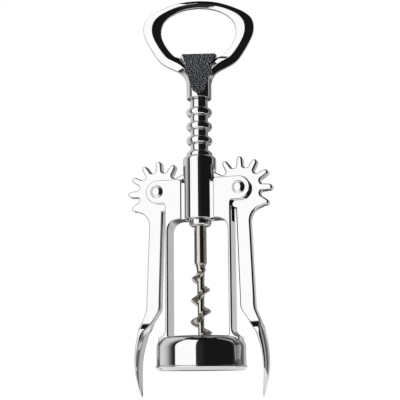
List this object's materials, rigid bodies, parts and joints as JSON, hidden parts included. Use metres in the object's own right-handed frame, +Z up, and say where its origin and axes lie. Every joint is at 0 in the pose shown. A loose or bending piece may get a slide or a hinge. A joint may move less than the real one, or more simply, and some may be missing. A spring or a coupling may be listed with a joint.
{
  "type": "lever corkscrew",
  "caption": "Lever corkscrew with a bell frame, geared wing levers, a ring-toothed rack, a steel worm and a ring handle with a cap lifter.",
  "frame": {"origin": "on the axis, at the mouth of the bell, in the plane of its lower rim", "axes": "+Z up along the axis from the bell to the handle; -Z leaves the bottle bore; levers lie in the XZ plane, +X to the right lever; front is -Y"},
  "size_m": [0.0684, 0.0408, 0.1853],
  "materials": {
    "chrome_casting": "polished",
    "lever_chrome": "polished",
    "handle_chrome": "polished",
    "rack_chrome": "polished",
    "pin_chrome": "polished",
    "washer_steel": "satin",
    "worm_steel": "satin",
    "liner_plastic": "matte"
  },
  "bodies": {
    "frame": {"frame": "chrome_casting", "bell": "chrome_casting", "bell_liner": "liner_plastic", "pivot_pin_left": "pin_chrome", "pivot_pin_right": "pin_chrome", "pin_washer_left": "washer_steel", "pin_washer_right": "washer_steel"},
    "lever_left": {"lever_left": "lever_chrome"},
    "lever_right": {"lever_right": "lever_chrome"},
    "rack": {"rack_sleeve": "rack_chrome"},
    "spindle": {"handle": "handle_chrome", "shank": "worm_steel", "worm": "worm_steel", "end_collar": "rack_chrome", "collar_pin": "washer_steel", "thrust_washer": "washer_steel"}
  },
  "joints": [
    {"name": "lever_left_hinge", "type": "hinge", "parent": "frame", "child": "lever_left", "pos_m": [-0.0193, 0, 0.0813], "axis": [0, 1, 0], "range_deg": [-3, 150]},
    {"name": "lever_right_hinge", "type": "hinge", "parent": "frame", "child": "lever_right", "pos_m": [0.0193, 0, 0.0813], "axis": [0, -1, 0], "range_deg": [-3, 150]},
    {"name": "rack_slide", "type": "slide", "parent": "frame", "child": "rack", "axis": [0, 0, 1], "range_m": [-0.0341, 0.0008]},
    {"name": "spindle_spin", "type": "hinge", "parent": "rack", "child": "spindle", "pos_m": [0, 0, 0.1], "axis": [0, 0, 1], "continuous": true}
  ],
  "couplings": [
    {"joint": "lever_right_hinge", "follows": "lever_left_hinge", "ratio": 1},
    {"joint": "rack_slide", "follows": "lever_left_hinge", "m_per_rad": -0.012987}
  ]
}
